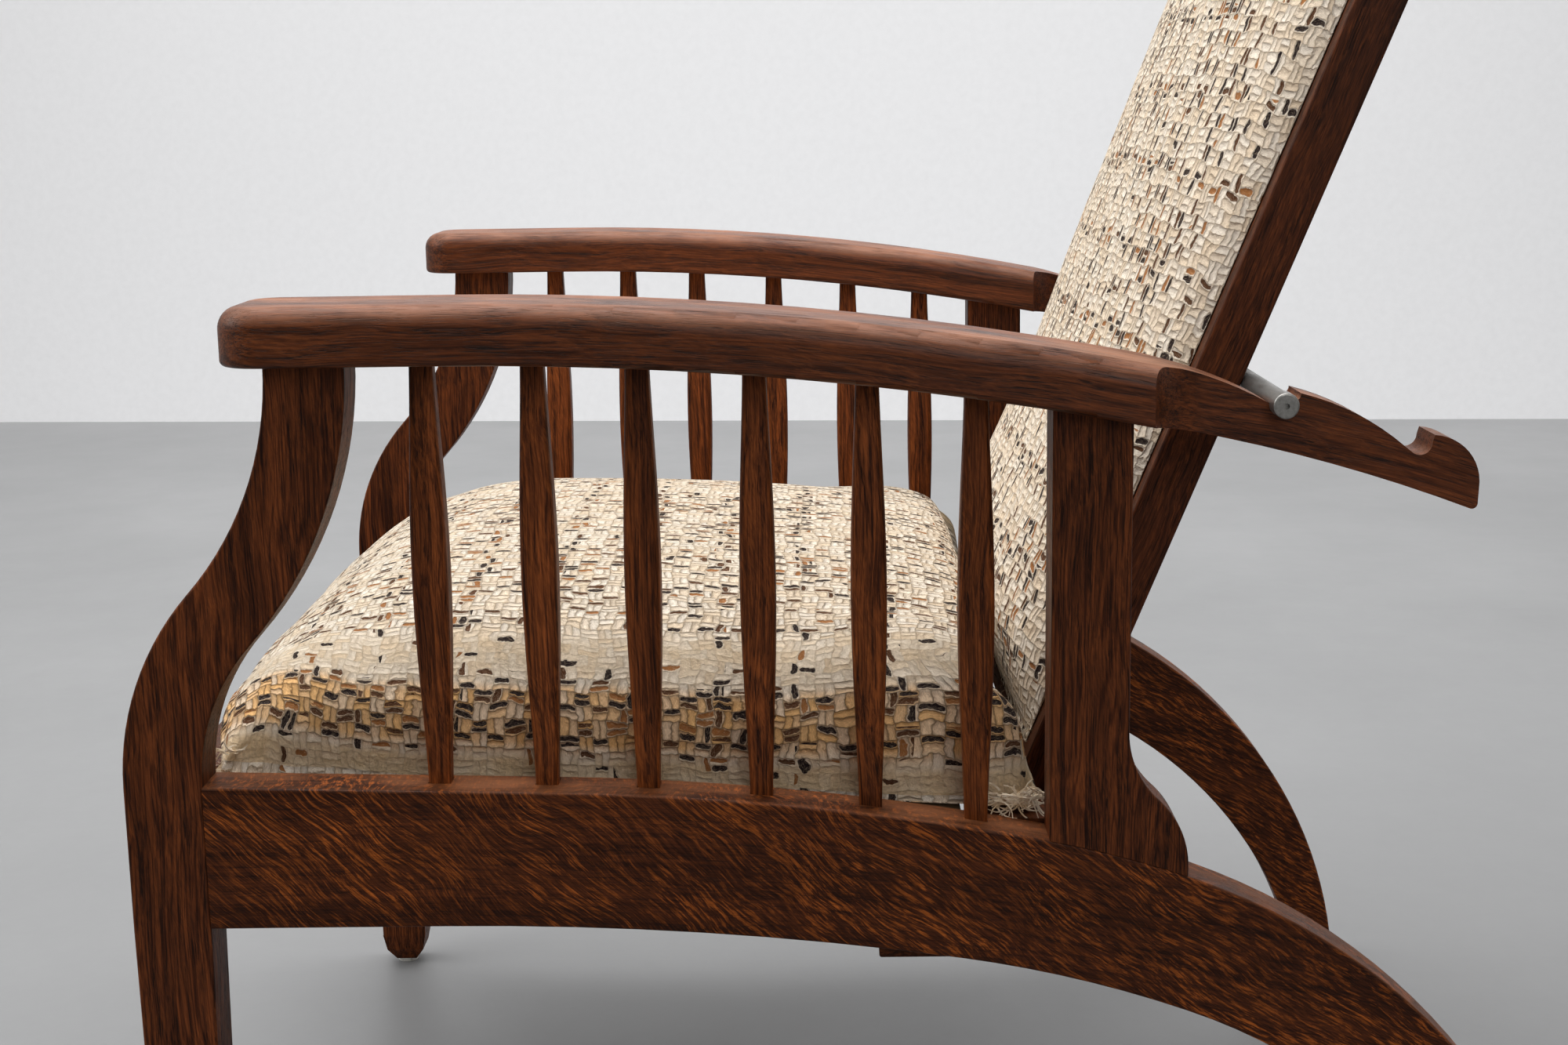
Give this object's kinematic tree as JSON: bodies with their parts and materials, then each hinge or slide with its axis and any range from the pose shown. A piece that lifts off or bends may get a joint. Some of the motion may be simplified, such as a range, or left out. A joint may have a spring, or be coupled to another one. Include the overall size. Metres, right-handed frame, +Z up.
{
  "type": "mission reclining armchair",
  "caption": "Wooden reclining armchair with bowed rear legs, spindled sides, notched arms and a loose rod that holds a tilting cushioned back.",
  "frame": {"origin": "centre of the footprint on the floor, under the middle of the bounding box", "axes": "+Z up, +Y to the chair's back, +X to the sitter's left"},
  "size_m": [0.7128, 0.8234, 1.0317],
  "materials": {
    "frame_oak": "satin",
    "post_oak": "satin",
    "arm_oak": "satin",
    "pale_wood": "matte",
    "tweed": "matte",
    "jute_webbing": "matte",
    "rod_steel": "satin",
    "hinge_steel": "satin",
    "glide_nylon": "matte"
  },
  "bodies": {
    "frame": {"cleat_screws": "hinge_steel", "foot_glides": "glide_nylon", "front_seat_rail": "frame_oak", "left_arm": "arm_oak", "left_front_leg": "post_oak", "left_hinge_block": "post_oak", "left_hinge_pin": "hinge_steel", "left_hinge_washer": "hinge_steel", "left_post_heel": "post_oak", "left_rear_post": "post_oak", "left_seat_cleat": "pale_wood", "left_seat_frame_side": "pale_wood", "left_side_rail": "frame_oak", "left_spindle_1": "post_oak", "left_spindle_2": "post_oak", "left_spindle_3": "post_oak", "left_spindle_4": "post_oak", "left_spindle_5": "post_oak", "left_spindle_6": "post_oak", "rear_seat_rail": "frame_oak", "right_arm": "arm_oak", "right_front_leg": "post_oak", "right_hinge_block": "post_oak", "right_hinge_pin": "hinge_steel", "right_hinge_washer": "hinge_steel", "right_post_heel": "post_oak", "right_rear_post": "post_oak", "right_seat_cleat": "pale_wood", "right_seat_frame_side": "pale_wood", "right_side_rail": "frame_oak", "right_spindle_1": "post_oak", "right_spindle_2": "post_oak", "right_spindle_3": "post_oak", "right_spindle_4": "post_oak", "right_spindle_5": "post_oak", "right_spindle_6": "post_oak", "seat_cushion": "tweed", "seat_frame_front": "pale_wood", "seat_frame_rear": "pale_wood", "webbing_crosswise": "jute_webbing", "webbing_lengthwise": "jute_webbing"},
    "back": {"back_bottom_rail": "frame_oak", "back_crest_rail": "frame_oak", "back_cushion": "tweed", "back_slat_1": "frame_oak", "back_slat_2": "frame_oak", "back_slat_3": "frame_oak", "back_slat_4": "frame_oak", "left_back_stile": "frame_oak", "right_back_stile": "frame_oak"},
    "rod": {"left_rod_cap": "rod_steel", "right_rod_cap": "rod_steel", "support_rod": "rod_steel"}
  },
  "joints": [
    {"name": "back_tilt", "type": "hinge", "parent": "frame", "child": "back", "pos_m": [0, 0.08892, 0.312], "axis": [1, 0, 0], "range_deg": [0, 3.5]},
    {"name": "rod_swing", "type": "hinge", "parent": "frame", "child": "rod", "pos_m": [0, 0.25369, 0.55707], "axis": [-1, 0, 0], "range_deg": [0, 168.43]}
  ]
}
